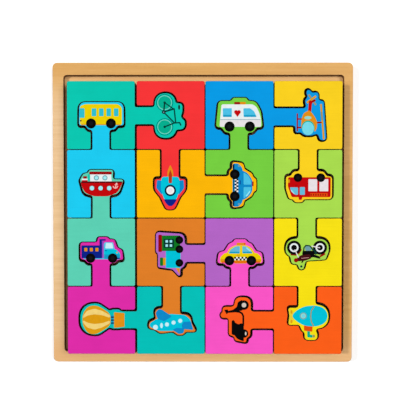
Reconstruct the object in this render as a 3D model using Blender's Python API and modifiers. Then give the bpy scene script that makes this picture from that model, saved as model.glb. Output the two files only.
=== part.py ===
"""Wooden block puzzle: sixteen interlocking picture blocks lying in a shallow plywood tray.

Every block has one tab, a neck with a vehicle-shaped head, and one socket for a neighbour's tab.
A block is one closed outline: a rounded square that steps out round its tab and in round its socket.
All lengths are in metres, +Z is up, and the origin is under the middle of the tray.
"""
import math

import bpy

# Blocks
BLOCK_SIDE = 0.050
BLOCK_THICKNESS = 0.010
BLOCK_CORNER_RADIUS = 0.0011
EDGE_ROUNDING = 0.0004

# Tabs and sockets
NECK_WIDTH = 0.0127
NECK_ROOT_RADIUS = 0.0010
NECK_TOP_RADIUS = 0.0018
SOCKET_LIP_RADIUS = 0.0012
FIT_CLEARANCE = 0.0011
FIT_BLOCK_GAP = 0.0011

# How the blocks lie, seen from above with the back row first
LAYOUT = (
    ("bicycle", "rocket", "helicopter", "fire_engine"),
    ("bus", "police_car", "ambulance", "motorcycle"),
    ("ship", "aeroplane", "train", "submarine"),
    ("lorry", "balloon", "taxi", "scooter"),
)
ROWS = len(LAYOUT)
COLUMNS = len(LAYOUT[0])

# The gaps between columns from left to right, the row gap, and the gaps to the frame
COLUMN_GAPS = (0.0013, 0.0005, 0.0006)
ROW_GAP = 0.0004
SEAT_GAP_RIGHT = 0.0031
SEAT_GAP_FRONT = 0.0005

# Tray: its opening lies a little off the middle, so each bar of the frame has its own width
PLAY_ACROSS = 0.0098
PLAY_DEEP = 0.0077
BAR_LEFT = 0.0084
BAR_RIGHT = 0.0068
BAR_BACK = 0.0094
BAR_FRONT = 0.0079
TRAY_CORNER_RADIUS = 0.0032
RECESS_CORNER_RADIUS = 0.0022
BASE_THICKNESS = 0.0030
FRAME_THICKNESS = 0.0030
REST_GAP = 0.0003

# Facets: the farthest that a chord may lie inside a true arc, and the most of its radius on a small arc
ARC_TOLERANCE = 0.00015
DEEPEST_CHORD = 0.25

# Every corner of a socket keeps at least this radius, so that its rounded edge still fits
LEAST_RADIUS = 1.25 * EDGE_ROUNDING

# The arcs at the two ends of an edge shrink where they would take up more than this share of it
EDGE_SHARE = 0.98

# Edges of a board that turn at least this far are eased, and points closer than this are one
SHARP_TURN = math.radians(70)
WELD_DISTANCE = 0.00001

# Heads are drawn on a grid of 50 units to a block's side
GRID_UNITS = 50.0
GRID = BLOCK_SIDE / GRID_UNITS

RECESS_WIDTH = COLUMNS * BLOCK_SIDE + PLAY_ACROSS
RECESS_DEPTH = ROWS * BLOCK_SIDE + PLAY_DEEP
RECESS_X = (BAR_LEFT - BAR_RIGHT) / 2
RECESS_Y = (BAR_FRONT - BAR_BACK) / 2
TRAY_WIDTH = RECESS_WIDTH + BAR_LEFT + BAR_RIGHT
TRAY_DEPTH = RECESS_DEPTH + BAR_FRONT + BAR_BACK

PAINT_ROUGHNESS = 0.38
WOOD_ROUGHNESS = 0.62
BASE_COLOUR = (206, 166, 112)
FRAME_COLOUR = (224, 178, 116)

# Outward direction of each side of a block, in the order in which its outline passes them
SIDES = {"front": (0, -1), "right": (1, 0), "back": (0, 1), "left": (-1, 0)}
OPPOSITE = {"front": "back", "back": "front", "left": "right", "right": "left"}

# Side of each block's tab, and its paint
BLOCKS = {
    "bicycle": ("right", (1, 200, 177)),
    "rocket": ("front", (248, 52, 54)),
    "helicopter": ("right", (0, 155, 230)),
    "fire_engine": ("front", (252, 210, 28)),
    "bus": ("back", (25, 205, 243)),
    "police_car": ("right", (255, 185, 0)),
    "ambulance": ("back", (118, 208, 64)),
    "motorcycle": ("front", (170, 222, 78)),
    "ship": ("back", (93, 211, 182)),
    "aeroplane": ("front", (222, 125, 42)),
    "train": ("left", (182, 102, 200)),
    "submarine": ("front", (250, 228, 15)),
    "lorry": ("back", (221, 42, 168)),
    "balloon": ("left", (0, 194, 186)),
    "taxi": ("back", (252, 85, 200)),
    "scooter": ("left", (250, 93, 28)),
}


def mirrored(half, centre=0.0):
    """Corners of the right half of a head, followed by their mirror images in reverse."""
    right = [(centre + u, v, radius) for u, v, radius in half]
    left = [(centre - u, v, radius) for u, v, radius in reversed(half)]
    return right + left


def bus_head():
    return mirrored([(9.7, 14.8, 2.2), (12.0, 17.8, 1.8), (16.6, 17.8, 1.4), (16.4, 35.1, 4.2)], centre=0.4)


def bicycle_head():
    front_wheel = [(16.8, 14.5, 7.0), (16.8, 28.6, 6.5)]
    handlebar = [(10.6, 30.4, 1.8), (10.6, 36.8, 3.2), (4.2, 36.8, 2.2)]
    saddle = [(1.4, 33.6, 2.2), (-2.4, 35.0, 3.0), (-8.7, 35.0, 2.2), (-8.7, 30.0, 1.8)]
    rear_wheel = [(-16.1, 28.8, 6.5), (-16.1, 14.5, 7.0)]
    return front_wheel + handlebar + saddle + rear_wheel


def ambulance_head():
    front = [(9.8, 12.6, 2.6), (13.0, 16.4, 1.8), (17.2, 16.4, 1.8), (15.7, 28.6, 10.0), (11.8, 35.9, 5.0)]
    beacon = [(6.6, 35.9, 1.8), (5.0, 38.2, 1.6), (-4.6, 38.2, 1.6), (-6.2, 35.9, 1.8)]
    rear = [(-15.5, 35.9, 2.6), (-17.4, 16.4, 2.0), (-13.4, 16.4, 1.8), (-10.2, 12.6, 2.6)]
    return front + beacon + rear


def helicopter_head():
    skid = [(13.2, 16.0, 1.3), (12.6, 19.9, 2.0)]
    cockpit = [(15.0, 22.9, 4.0), (15.0, 29.1, 4.0), (12.8, 32.7, 2.0)]
    rotor = [(18.5, 33.9, 1.9), (18.5, 38.9, 1.9), (-10.2, 36.9, 1.4), (-10.8, 33.0, 1.8)]
    tail = [(-17.3, 33.0, 2.0), (-16.2, 28.5, 2.0), (-18.6, 26.3, 1.8), (-18.6, 24.0, 1.8),
            (-15.4, 24.0, 1.5), (-13.5, 25.3, 1.8), (-11.4, 23.1, 1.6), (-9.2, 23.1, 1.6)]
    return skid + cockpit + rotor + tail


def ship_head():
    bow = [(13.1, 18.0, 5.0), (16.9, 28.8, 1.4)]
    cabin = [(8.5, 28.8, 1.8), (9.3, 35.8, 1.8), (-8.4, 35.8, 1.4), (-9.8, 33.5, 1.8)]
    stern = [(-13.1, 32.9, 2.0), (-15.6, 28.3, 1.2), (-12.9, 18.0, 5.0)]
    return bow + cabin + stern


def rocket_head():
    return mirrored([(11.6, 21.7, 1.6), (11.6, 30.1, 5.0), (7.2, 35.6, 4.0), (3.0, 44.5, 2.8)], centre=0.4)


def car_head(sill):
    """Saloon car with a sign or a beacon on its roof, standing at the height of its wheels."""
    half = [(10.0, 0.0, 2.3), (12.1, 2.3, 1.8), (17.1, 2.3, 1.6), (16.0, 10.7, 2.4), (11.7, 11.6, 2.2),
            (8.3, 17.2, 3.5), (5.6, 18.2, 1.8), (4.0, 20.3, 1.6)]
    return mirrored([(u, sill + v, radius) for u, v, radius in half], centre=0.7)


def fire_engine_head():
    cab = [(10.7, 16.2, 2.4), (13.3, 19.7, 1.8), (16.5, 19.7, 1.6), (16.5, 29.3, 4.0), (14.1, 36.9, 2.2)]
    beacon = [(11.3, 36.9, 1.8), (9.7, 39.1, 1.8), (4.5, 39.1, 1.5), (2.9, 36.9, 1.8)]
    rear = [(-17.6, 36.9, 2.4), (-17.6, 19.8, 2.0), (-13.9, 19.8, 1.8), (-11.1, 16.2, 2.6)]
    return cab + beacon + rear


def lorry_head():
    bonnet = [(10.3, 17.3, 2.2), (12.5, 19.7, 1.8), (16.4, 19.7, 1.3), (15.4, 27.2, 1.8), (11.8, 29.0, 1.8)]
    cab = [(9.8, 35.0, 1.8), (6.1, 35.0, 1.8), (4.7, 36.7, 1.4), (-2.6, 36.7, 1.5)]
    load = [(-2.8, 32.7, 1.8), (-15.5, 32.7, 1.6), (-15.5, 19.9, 1.5), (-12.3, 19.9, 1.8),
            (-10.1, 17.3, 2.2)]
    return bonnet + cab + load


def train_head():
    cab = [(13.6, 15.2, 4.0), (15.0, 36.6, 2.2), (0.0, 36.6, 1.3), (-1.2, 35.1, 1.8)]
    boiler = [(-11.2, 35.1, 1.3), (-12.7, 24.4, 2.0)]
    cowcatcher = [(-19.2, 18.4, 1.1), (-12.6, 18.4, 1.8), (-10.0, 15.2, 2.0)]
    return cab + boiler + cowcatcher


def motorcycle_head():
    front_wheel = [(16.5, 15.4, 6.5), (16.5, 26.3, 4.0)]
    handlebar = [(13.0, 28.9, 1.8), (12.2, 34.3, 2.2), (7.6, 34.3, 1.8), (6.4, 38.3, 1.9), (3.1, 38.3, 1.8)]
    seat = [(1.7, 31.9, 2.2), (-13.1, 30.9, 1.6)]
    rear_wheel = [(-15.4, 24.7, 4.0), (-15.4, 15.4, 6.5)]
    return front_wheel + handlebar + seat + rear_wheel


def balloon_head():
    basket = [(7.2, 13.2, 1.3), (7.2, 17.8, 1.3), (6.3, 20.4, 1.8)]
    envelope = [(11.7, 28.3, 6.0), (11.3, 42.0, 9.5)]
    return mirrored(basket + envelope, centre=0.9)


def aeroplane_head():
    wing = [(12.5, 16.6, 3.2), (11.2, 24.6, 1.8)]
    nose = [(16.0, 26.6, 2.0), (16.8, 31.6, 2.0), (11.6, 32.6, 3.0), (8.0, 35.3, 3.5), (-1.6, 34.0, 2.5)]
    far_wing = [(-4.8, 36.5, 2.5), (-9.0, 36.5, 2.5), (-11.2, 34.1, 2.0)]
    tail = [(-19.1, 34.1, 1.2), (-15.3, 27.2, 3.0), (-14.7, 21.1, 4.5)]
    return wing + nose + far_wing + tail


def scooter_head():
    front_wheel = [(17.2, 16.9, 4.5), (17.2, 28.5, 3.8), (10.1, 29.5, 2.2)]
    handlebar = [(10.1, 38.0, 1.9), (6.0, 38.0, 1.8), (4.9, 39.5, 1.3), (1.7, 39.5, 1.9), (1.7, 33.4, 1.8)]
    seat = [(-10.9, 33.4, 1.8), (-12.1, 29.4, 1.8), (-15.1, 28.8, 1.8)]
    rear_wheel = [(-16.6, 20.2, 1.2), (-13.5, 20.2, 1.8), (-11.4, 17.3, 2.4)]
    return front_wheel + handlebar + seat + rear_wheel


def submarine_head():
    tail_fin = [(14.6, 16.0, 1.2), (13.7, 22.3, 4.0), (14.5, 28.9, 1.2)]
    tower = [(6.2, 28.8, 2.0), (4.3, 33.2, 1.6), (2.5, 34.6, 1.8)]
    periscope = [(2.2, 40.1, 2.4), (-7.2, 40.1, 2.4), (-7.2, 35.4, 2.0), (-5.2, 31.6, 1.8)]
    hull = [(-15.4, 31.2, 8.2), (-15.4, 13.9, 8.2)]
    return tail_fin + tower + periscope + hull


# Head of each tab: its corners, where the neck's middle lies across the block's side, and the heights
# at which the neck's right and left sides meet the head
HEADS = {
    "bicycle": (bicycle_head(), 0.4, 14.5, 14.5),
    "rocket": (rocket_head(), 0.4, 21.7, 21.7),
    "helicopter": (helicopter_head(), 1.3, 16.0, 24.1),
    "fire_engine": (fire_engine_head(), 0.1, 16.2, 16.2),
    "bus": (bus_head(), 0.0, 14.8, 14.8),
    "police_car": (car_head(17.8), 0.7, 17.8, 17.8),
    "ambulance": (ambulance_head(), -0.4, 12.6, 12.6),
    "motorcycle": (motorcycle_head(), 0.9, 15.4, 15.4),
    "ship": (ship_head(), 0.0, 16.8, 16.8),
    "aeroplane": (aeroplane_head(), -0.5, 16.6, 20.8),
    "train": (train_head(), -0.9, 15.2, 15.2),
    "submarine": (submarine_head(), 0.6, 16.0, 13.7),
    "lorry": (lorry_head(), -0.2, 17.3, 17.3),
    "balloon": (balloon_head(), 0.3, 11.8, 11.8),
    "taxi": (car_head(14.8), 0.3, 14.8, 14.8),
    "scooter": (scooter_head(), 0.2, 17.1, 17.5),
}


def tab_corners(name):
    """Corners of a tab from the right foot of its neck, round the head, to the left foot.

    u runs along the block's side and v away from it; each corner has the radius of its round.
    """
    head, neck_middle, right_level, left_level = HEADS[name]
    right = neck_middle * GRID + NECK_WIDTH / 2
    left = neck_middle * GRID - NECK_WIDTH / 2
    head = [(u * GRID, v * GRID, radius * GRID) for u, v, radius in head]
    right_side = [(right, 0.0, NECK_ROOT_RADIUS), (right, right_level * GRID, NECK_TOP_RADIUS)]
    left_side = [(left, left_level * GRID, NECK_TOP_RADIUS), (left, 0.0, NECK_ROOT_RADIUS)]
    return right_side + head + left_side


def edge_normal(start, end):
    """Unit normal on the right of the way from start to end, which is outward on an outline."""
    along_u = end[0] - start[0]
    along_v = end[1] - start[1]
    length = math.hypot(along_u, along_v)
    return along_v / length, -along_u / length


def socket_corners(name):
    """Corners of the socket for a tab: the tab's outline moved out by the clearance all round."""
    tab = tab_corners(name)
    moved = []
    for before, corner, after in zip(tab, tab[1:], tab[2:]):
        normal_in = edge_normal(before, corner)
        normal_out = edge_normal(corner, after)
        along = normal_in[0] * normal_out[0] + normal_in[1] * normal_out[1]
        turn = normal_in[0] * normal_out[1] - normal_in[1] * normal_out[0]
        reach = FIT_CLEARANCE / (1 + along)
        u = corner[0] + reach * (normal_in[0] + normal_out[0])
        v = corner[1] + reach * (normal_in[1] + normal_out[1])
        radius = corner[2] + math.copysign(FIT_CLEARANCE, turn)
        moved.append((u, v, max(radius, LEAST_RADIUS)))
    right_lip = (tab[0][0] + FIT_CLEARANCE, FIT_BLOCK_GAP, SOCKET_LIP_RADIUS)
    left_lip = (tab[-1][0] - FIT_CLEARANCE, FIT_BLOCK_GAP, SOCKET_LIP_RADIUS)
    return [right_lip] + moved + [left_lip]


def on_side(corners, side, distance, sense):
    """Turn corners from a tab's own axes to a block's, the tab's foot lying out from the middle."""
    out_x, out_y = SIDES[side]
    v_x, v_y = sense * out_x, sense * out_y
    u_x, u_y = v_y, -v_x
    return [(distance * out_x + u * u_x + v * v_x, distance * out_y + u * u_y + v * v_y, radius)
            for u, v, radius in corners]


def socket_of(row, column):
    """Side of a block's socket, and the name of the neighbour whose tab fits it."""
    for side, (out_x, out_y) in SIDES.items():
        near_row = row - out_y
        near_column = column + out_x
        if near_row in range(ROWS) and near_column in range(COLUMNS):
            neighbour = LAYOUT[near_row][near_column]
            if BLOCKS[neighbour][0] == OPPOSITE[side]:
                return side, neighbour
    raise ValueError("no tab reaches the block " + LAYOUT[row][column])


def block_corners(row, column):
    """Corners of a whole block, anticlockwise from its front left, about its own middle."""
    half = BLOCK_SIDE / 2
    name = LAYOUT[row][column]
    tab_side = BLOCKS[name][0]
    socket_side, neighbour = socket_of(row, column)
    corners = []
    for side, (out_x, out_y) in SIDES.items():
        start = (half * (out_x + out_y), half * (out_y - out_x))
        corners.append((start[0], start[1], BLOCK_CORNER_RADIUS))
        if side == tab_side:
            corners += on_side(tab_corners(name), side, half, 1)
        if side == socket_side:
            corners += on_side(reversed(socket_corners(neighbour)), side, half + FIT_BLOCK_GAP, -1)
    return corners


def rounded(corners):
    """Points of a closed outline whose corners are replaced by arcs, each within its two edges."""
    count = len(corners)
    turns = []
    tangents = []
    lengths = []
    for index, (x, y, radius) in enumerate(corners):
        before = corners[index - 1]
        after = corners[(index + 1) % count]
        heading_in = math.atan2(y - before[1], x - before[0])
        heading_out = math.atan2(after[1] - y, after[0] - x)
        turn = math.remainder(heading_out - heading_in, math.tau)
        turns.append((heading_in, turn))
        tangents.append(radius * math.tan(abs(turn) / 2))
        lengths.append(math.hypot(after[0] - x, after[1] - y))
    points = []
    for index, (x, y, radius) in enumerate(corners):
        room_before = lengths[index - 1] / (tangents[index - 1] + tangents[index])
        room_after = lengths[index] / (tangents[index] + tangents[(index + 1) % count])
        share = min(1.0, EDGE_SHARE * room_before, EDGE_SHARE * room_after)
        heading, turn = turns[index]
        points += arc_points(x, y, radius * share, heading, turn)
    return points


def arc_points(x, y, radius, heading, turn):
    """Points of the arc that rounds one corner, entered along a heading and left after a turn."""
    side = math.copysign(1.0, turn)
    tangent = radius * math.tan(abs(turn) / 2)
    centre_x = x - tangent * math.cos(heading) - side * radius * math.sin(heading)
    centre_y = y - tangent * math.sin(heading) + side * radius * math.cos(heading)
    step = 2 * math.acos(1 - min(ARC_TOLERANCE / radius, DEEPEST_CHORD))
    steps = max(1, math.ceil(abs(turn) / step))
    first = heading - side * math.pi / 2
    angles = [first + turn * number / steps for number in range(steps + 1)]
    return [(centre_x + radius * math.cos(angle), centre_y + radius * math.sin(angle)) for angle in angles]


def rectangle_corners(width, depth, radius, middle=(0.0, 0.0)):
    """Corners of a rounded rectangle about its middle, anticlockwise."""
    left, right = middle[0] - width / 2, middle[0] + width / 2
    front, back = middle[1] - depth / 2, middle[1] + depth / 2
    return [(left, front, radius), (right, front, radius), (right, back, radius), (left, back, radius)]


def linear(channel):
    """Linear value of one sRGB colour channel from 0 to 255."""
    value = channel / 255
    if value <= 0.04045:
        return value / 12.92
    return ((value + 0.055) / 1.055) ** 2.4


def make_material(name, colour, roughness):
    material = bpy.data.materials.new(name)
    material.use_nodes = True
    shader = material.node_tree.nodes["Principled BSDF"]
    rgb = [linear(channel) for channel in colour]
    shader.inputs["Base Color"].default_value = (*rgb, 1.0)
    shader.inputs["Roughness"].default_value = roughness
    shader.inputs["Metallic"].default_value = 0.0
    material.diffuse_color = (*rgb, 1.0)
    return material


def make_board(name, outlines, thickness, location, material, collection):
    """Flat board cut to one or more outlines, its upper and lower edges eased, standing on its location."""
    curve = bpy.data.curves.new(name, "CURVE")
    curve.dimensions = "2D"
    curve.fill_mode = "BOTH"
    curve.extrude = thickness / 2
    for points in outlines:
        spline = curve.splines.new("POLY")
        spline.points.add(len(points) - 1)
        for spline_point, (x, y) in zip(spline.points, points):
            spline_point.co = (x, y, 0.0, 1.0)
        spline.use_cyclic_u = True
    curve.materials.append(material)
    board = bpy.data.objects.new(name, curve)
    board.location = (location[0], location[1], location[2] + thickness / 2)
    collection.objects.link(board)
    weld = board.modifiers.new("weld_caps", "WELD")
    weld.merge_threshold = WELD_DISTANCE
    ease = board.modifiers.new("ease_edges", "BEVEL")
    ease.width = EDGE_ROUNDING
    ease.segments = 1
    ease.limit_method = "ANGLE"
    ease.angle_limit = SHARP_TURN
    ease.use_clamp_overlap = False
    return board


def make_tray(collection):
    """Base board, and the one-piece frame that lies on it round the recess."""
    outside = rounded(rectangle_corners(TRAY_WIDTH, TRAY_DEPTH, TRAY_CORNER_RADIUS))
    recess_middle = (RECESS_X, RECESS_Y)
    inside = rounded(rectangle_corners(RECESS_WIDTH, RECESS_DEPTH, RECESS_CORNER_RADIUS, recess_middle))
    base_wood = make_material("base_wood", BASE_COLOUR, WOOD_ROUGHNESS)
    frame_wood = make_material("frame_wood", FRAME_COLOUR, WOOD_ROUGHNESS)
    make_board("tray_base", [outside], BASE_THICKNESS, (0.0, 0.0, 0.0), base_wood, collection)
    frame_foot = (0.0, 0.0, BASE_THICKNESS + REST_GAP)
    make_board("tray_frame", [outside, inside], FRAME_THICKNESS, frame_foot, frame_wood, collection)


def block_place(row, column):
    """Middle of a block's underside, counted from the front right corner that the blocks are pushed to."""
    gaps_to_right = COLUMN_GAPS[column:]
    blocks_to_right = COLUMNS - 1 - column
    right_end = RECESS_X + RECESS_WIDTH / 2 - SEAT_GAP_RIGHT
    x = right_end - (blocks_to_right + 0.5) * BLOCK_SIDE - sum(gaps_to_right)
    rows_in_front = ROWS - 1 - row
    front_end = RECESS_Y - RECESS_DEPTH / 2 + SEAT_GAP_FRONT
    y = front_end + (rows_in_front + 0.5) * BLOCK_SIDE + rows_in_front * ROW_GAP
    return x, y, BASE_THICKNESS + REST_GAP


def make_blocks(collection):
    for row, names in enumerate(LAYOUT):
        for column, name in enumerate(names):
            material = make_material(name + "_paint", BLOCKS[name][1], PAINT_ROUGHNESS)
            outline = rounded(block_corners(row, column))
            place = block_place(row, column)
            make_board("block_" + name, [outline], BLOCK_THICKNESS, place, material, collection)


def main():
    for scene_object in list(bpy.data.objects):
        bpy.data.objects.remove(scene_object, do_unlink=True)
    collection = bpy.data.collections.new("wooden_block_puzzle")
    bpy.context.scene.collection.children.link(collection)
    make_tray(collection)
    make_blocks(collection)


main()
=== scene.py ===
"""Wooden block puzzle: the looks of a plywood tray and of its sixteen painted, printed blocks."""
import math

import bmesh
import bpy
from bpy.props import FloatProperty, FloatVectorProperty, PointerProperty
from mathutils import Color, Matrix, Vector


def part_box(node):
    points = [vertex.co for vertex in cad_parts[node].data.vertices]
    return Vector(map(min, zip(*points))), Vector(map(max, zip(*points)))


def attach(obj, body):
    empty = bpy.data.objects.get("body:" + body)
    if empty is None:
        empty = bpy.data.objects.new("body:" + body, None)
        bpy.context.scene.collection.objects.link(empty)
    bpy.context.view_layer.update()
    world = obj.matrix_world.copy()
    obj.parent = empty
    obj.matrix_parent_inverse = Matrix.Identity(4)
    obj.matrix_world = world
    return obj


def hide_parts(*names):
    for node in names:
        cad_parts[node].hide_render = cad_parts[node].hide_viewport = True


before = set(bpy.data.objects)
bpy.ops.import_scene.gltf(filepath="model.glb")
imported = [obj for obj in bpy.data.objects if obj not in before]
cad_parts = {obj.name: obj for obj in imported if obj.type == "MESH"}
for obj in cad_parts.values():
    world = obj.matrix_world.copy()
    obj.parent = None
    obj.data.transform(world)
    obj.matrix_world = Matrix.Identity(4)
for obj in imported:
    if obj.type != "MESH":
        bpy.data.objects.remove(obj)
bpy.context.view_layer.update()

bl_info = {
    "name": "Wooden Block Puzzle",
    "version": (1, 0, 0),
    "blender": (4, 5, 0),
    "location": "View3D > Sidebar > Puzzle",
    "description": "Dresses the packed tray and blocks of a wooden block puzzle",
    "category": "Object",
}

# Side of each block's tab
TAB_SIDES = {
    "bicycle": "right", "rocket": "front", "helicopter": "right", "fire_engine": "front",
    "bus": "back", "police_car": "right", "ambulance": "back", "motorcycle": "front",
    "ship": "back", "aeroplane": "front", "train": "left", "submarine": "front",
    "lorry": "back", "balloon": "left", "taxi": "back", "scooter": "left",
}

# Turn in degrees of a tab's own axes; on a tab to the back u points to the right and v to the back
TAB_TURNS = {"back": 0.0, "left": 90.0, "front": 180.0, "right": 270.0}

MILLIMETRE = 0.001

# Distances, in metres, under which points are one, lie on a cut, or make an edge too short to keep
WELD_DISTANCE = 1e-6
CUT_DISTANCE = 1e-7
SHORT_EDGE = 0.00015

# Largest angle between facets that count as one flat face
FLAT_TURN = math.radians(0.5)

# Least turn of an outline that becomes an arc
LEAST_TURN = math.radians(4)

# Least angle between faces that aren't shaded as one
SHARP_TURN = math.radians(50)

# Least angle at an edge that is rounded as a rim
RIM_TURN = math.radians(60)

# Upward part of a normal over which a face counts as flat
# Rounded rim facets steeper than this take the dark cut-side colour, as painted shade along the gaps
# between blocks
FACE_SLOPE = 0.8

# Part of a corner's shorter edge that its arc takes up
ARC_SHARE = 0.42

# Part of the frame's half width inside which its cut sides belong to the opening
OPENING_SHARE = 0.97

# Steps of each rounding
ARC_STEPS = 3
RIM_STEPS = 3
SOFT_STEPS = 4
OVAL_STEPS = 32

# Layers of veneer in the boards
TRAY_LAYERS = 3
BLOCK_LAYERS = 7

# Radius of a printed wheel's hub to that of its tyre
HUB_SHARE = 0.42

# Dark edge left round a white check, and the softening of a check's corners, in millimetres
CHECK_EDGE = 0.06
CHECK_SOFT = 0.05

# Where the frame's wood changes its tone: start and end of each change, from that side of the tray
LEFT_FADE = (0.004, 0.04)
RIGHT_FADE = (0.0095, 0.0075)
BACK_FADE = (0.04, 0.002)
FRONT_FADE = (0.03, 0.004)


def colour(name, red, green, blue):
    """Property for one colour, given as it shows on a screen from 0 to 255."""
    shown = (red / 255, green / 255, blue / 255)
    return FloatVectorProperty(name=name, description=name + ", as it shows on a screen",
                               subtype="COLOR_GAMMA", size=3, min=0, max=1, default=shown)


def length(name, description, metres):
    """Property for one length."""
    return FloatProperty(name=name, description=description, unit="LENGTH", min=0, precision=5,
                         default=metres)


def point(name, description, metres):
    """Property for one place in the tray's axes."""
    return FloatVectorProperty(name=name, description=description, subtype="TRANSLATION", unit="LENGTH",
                               size=3, default=metres)


def power(name, description, watts):
    """Property for the power of one lamp."""
    return FloatProperty(name=name, description=description, unit="POWER", min=0, default=watts)


def factor(name, description, value):
    """Property for one value from 0 to 1."""
    return FloatProperty(name=name, description=description, subtype="FACTOR", min=0, max=1,
                         default=value)


class PuzzleTraySettings(bpy.types.PropertyGroup):
    """Wood of the tray"""
    # Left bar: its own paler wood tone, made paler still as painted light against the blocks' shadow from
    # the right-hand lamp
    left_light: colour("Left bar, light wood", 246, 208, 158)
    left_dark: colour("Left bar, dark grain", 232, 188, 134)
    frame_light: colour("Frame, light wood", 244, 197, 141)
    frame_dark: colour("Frame, dark grain", 228, 174, 114)
    golden_light: colour("Back and right bars, light wood", 237, 185, 112)
    golden_dark: colour("Back and right bars, dark grain", 220, 164, 88)
    # Base wood: pale, and made paler still as painted light, to offset the shade in the recess behind the
    # blocks
    base_light: colour("Base, light wood", 254, 206, 146)
    base_dark: colour("Base, dark grain", 236, 180, 114)
    ply_light: colour("Ply edge, light layer", 222, 186, 138)
    ply_dark: colour("Ply edge, dark layer", 158, 112, 68)
    # Opening's cut wall: toasted wood, kept darker as painted shade in the slots round the blocks
    toasted_and_shaded_light: colour("Opening, light layer", 140, 96, 54)
    toasted_and_shaded_dark: colour("Opening, toasted layer", 84, 52, 28)
    rim: length("Rim rounding", "Rounding of the boards' edges", 0.0004)
    gloss: factor("Roughness", "Mean roughness of the lacquered wood", 0.55)


class PuzzlePaintSettings(bpy.types.PropertyGroup):
    """Paint and cut sides of the blocks"""
    bicycle: colour("Bicycle block", 1, 200, 177)
    rocket: colour("Rocket block", 248, 52, 54)
    helicopter: colour("Helicopter block", 0, 155, 230)
    fire_engine: colour("Fire engine block", 252, 210, 28)
    bus: colour("Bus block", 25, 205, 243)
    police_car: colour("Police car block", 255, 185, 0)
    ambulance: colour("Ambulance block", 118, 208, 64)
    motorcycle: colour("Motorcycle block", 170, 222, 78)
    ship: colour("Ship block", 93, 211, 182)
    aeroplane: colour("Aeroplane block", 226, 127, 38)
    train: colour("Train block", 182, 102, 200)
    submarine: colour("Submarine block", 250, 228, 15)
    lorry: colour("Lorry block", 225, 43, 170)
    balloon: colour("Balloon block", 0, 194, 186)
    taxi: colour("Taxi block", 252, 85, 200)
    scooter: colour("Scooter block", 255, 95, 22)
    # Cut sides: toasted wood, made near black as painted shade in the gaps between blocks
    toasted_and_shaded_light: colour("Cut side, light layer", 78, 52, 32)
    toasted_and_shaded_dark: colour("Cut side, toasted layer", 38, 24, 15)
    rim: length("Rim rounding", "Rounding of the blocks' edges", 0.0003)
    gloss: factor("Roughness", "Mean roughness of the paint", 0.5)
    shine: factor("Specular level", "Strength of the paint's mirror reflection", 0.05)


class PuzzleInkSettings(bpy.types.PropertyGroup):
    """Inks of the printed vehicles"""
    black: colour("Black", 4, 4, 5)
    charcoal: colour("Charcoal", 18, 18, 22)
    white: colour("White", 247, 245, 246)
    pearl: colour("Pearl", 235, 228, 232)
    milk: colour("Milk white", 234, 242, 243)
    stone: colour("Stone grey", 212, 200, 190)
    steel: colour("Steel", 112, 160, 170)
    sky: colour("Sky blue", 76, 194, 232)
    lagoon: colour("Lagoon blue", 20, 160, 200)
    haze: colour("Haze blue", 102, 190, 220)
    glass: colour("Glass blue", 46, 192, 212)
    ice: colour("Ice blue", 165, 238, 246)
    frost: colour("Frost blue", 204, 242, 250)
    aqua: colour("Aqua", 118, 220, 236)
    cyan: colour("Cyan", 0, 196, 220)
    blue: colour("Blue", 13, 138, 203)
    navy: colour("Navy", 10, 34, 136)
    midnight: colour("Midnight blue", 6, 30, 62)
    red: colour("Red", 196, 5, 10)
    brick: colour("Brick red", 152, 6, 10)
    maroon: colour("Maroon", 66, 14, 20)
    coral: colour("Coral", 250, 190, 185)
    ember: colour("Ember red", 186, 54, 22)
    flame: colour("Flame orange", 232, 78, 8)
    orange: colour("Orange", 230, 144, 22)
    gold: colour("Gold", 224, 158, 18)
    amber: colour("Amber", 240, 210, 50)
    yellow: colour("Yellow", 238, 210, 0)
    straw: colour("Straw", 245, 214, 124)
    khaki: colour("Khaki", 160, 146, 96)
    green: colour("Green", 12, 118, 34)
    pine: colour("Pine", 4, 58, 50)
    jade: colour("Jade", 4, 175, 143)
    mint: colour("Mint", 152, 216, 205)
    teal: colour("Teal", 1, 200, 177)
    orchid: colour("Orchid", 152, 76, 196)
    film: length("Ink film", "Thickness of one printed layer", 0.00001)


class PuzzleStageSettings(bpy.types.PropertyGroup):
    """Camera, lamps and floor"""
    eye: point("Camera", "Place of the camera", (-0.00111, 0.01512, 0.3570))
    turn: FloatVectorProperty(
        name="Camera turn", description="Turn of the camera from straight down", subtype="EULER", size=3,
        default=(-0.0155, 0.0025, 0.0))
    lens: FloatProperty(name="Lens", description="Focal length", unit="CAMERA", min=1, default=42.04)
    near: length("Nearest view", "Distance from which the camera shows things", 0.01)
    key_place: point("Key lamp place", "Place of the lamp to the left and back", (-2.6, 0.6, 2.42))
    key_power: power("Key lamp", "Power of the lamp to the left and back", 63.0)
    key_size: length("Key lamp size", "Side of the lamp to the left and back", 0.35)
    fill_place: point("Fill lamp place", "Place of the lamp to the right", (1.9, 0.5, 2.3))
    fill_power: power("Fill lamp", "Power of the lamp to the right", 43.0)
    fill_size: length("Fill lamp size", "Side of the lamp to the right", 1.6)
    daylight: factor("Daylight", "Strength of the light from all round", 0.31)
    floor: colour("Floor", 244, 244, 244)
    floor_lift: factor("Floor lift", "Light that the camera adds to the floor", 0.36)
    floor_reach: length("Floor reach", "Distance from the middle of the floor to its sides", 3.0)
    floor_drop: length("Floor drop", "Height of the tray above the floor", 0.0002)
    fade_start: length("Fade start", "Distance at which the floor starts to turn white", 0.5)
    fade_end: length("Fade end", "Distance from which the floor is white", 2.5)


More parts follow.
